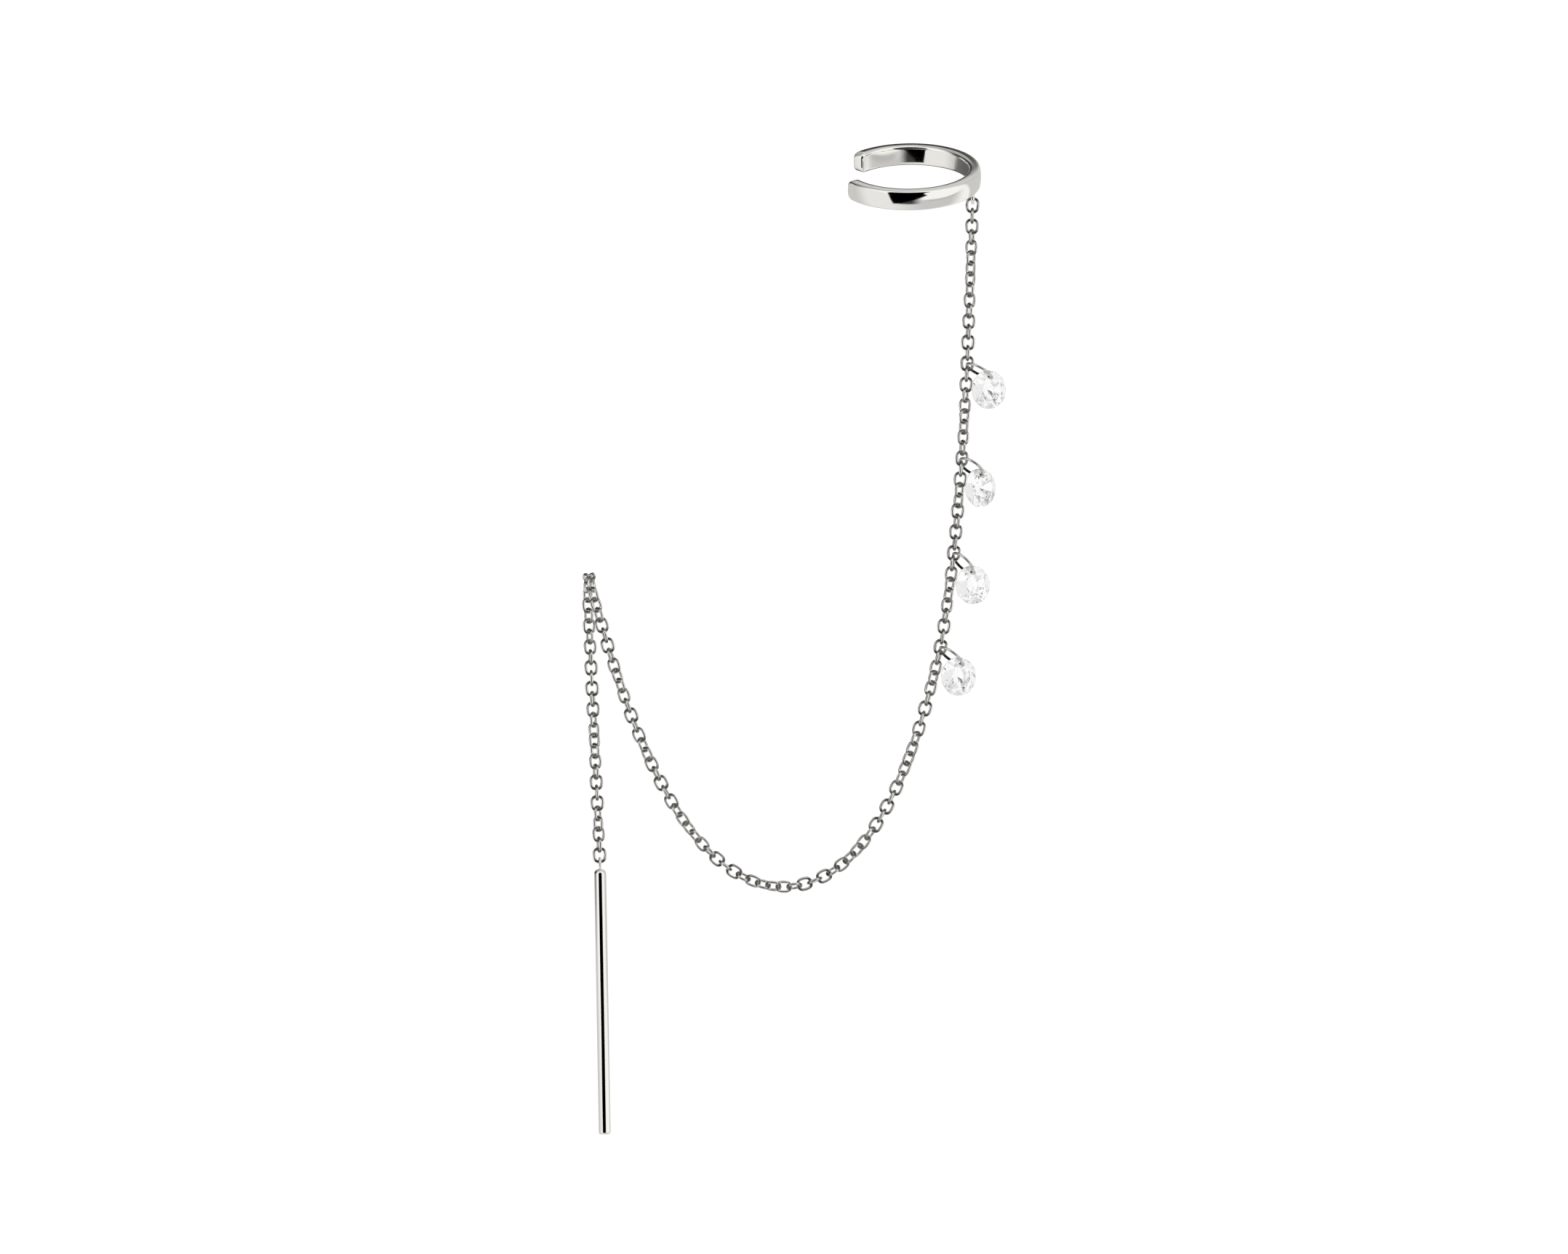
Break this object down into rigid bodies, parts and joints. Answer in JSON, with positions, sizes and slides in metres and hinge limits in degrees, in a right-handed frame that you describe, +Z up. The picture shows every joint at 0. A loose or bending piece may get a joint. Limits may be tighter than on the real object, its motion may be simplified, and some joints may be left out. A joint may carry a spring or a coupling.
{
  "type": "threader earring",
  "caption": "Open ear cuff with a draped cable chain, drilled round stones on jump rings, and a straight threader pin on the chain's free end.",
  "frame": {"origin": "centre of the ear cuff's ring, where it sits on the rim of the ear", "axes": "+Z up as worn, -Y to the front of the ear, +X from the threader pin towards the cuff"},
  "size_m": [0.0403, 0.0128, 0.0896],
  "materials": {
    "silver": "polished",
    "stone": "faceted"
  },
  "bodies": {
    "ear_piece": {"ear_cuff": "silver", "drape_chain": "silver", "tail_chain": "silver", "jump_ring_1": "silver", "jump_ring_2": "silver", "jump_ring_3": "silver", "jump_ring_4": "silver", "stone_1": "stone", "stone_2": "stone", "stone_3": "stone", "stone_4": "stone"},
    "threader": {"threader_pin": "silver"}
  },
  "joints": [
    {"name": "pin_swing", "type": "hinge", "parent": "ear_piece", "child": "threader", "pos_m": [-0.0312, 0.00103, -0.06147], "axis": [1, 0, 0], "range_deg": [-60, 60]}
  ]
}
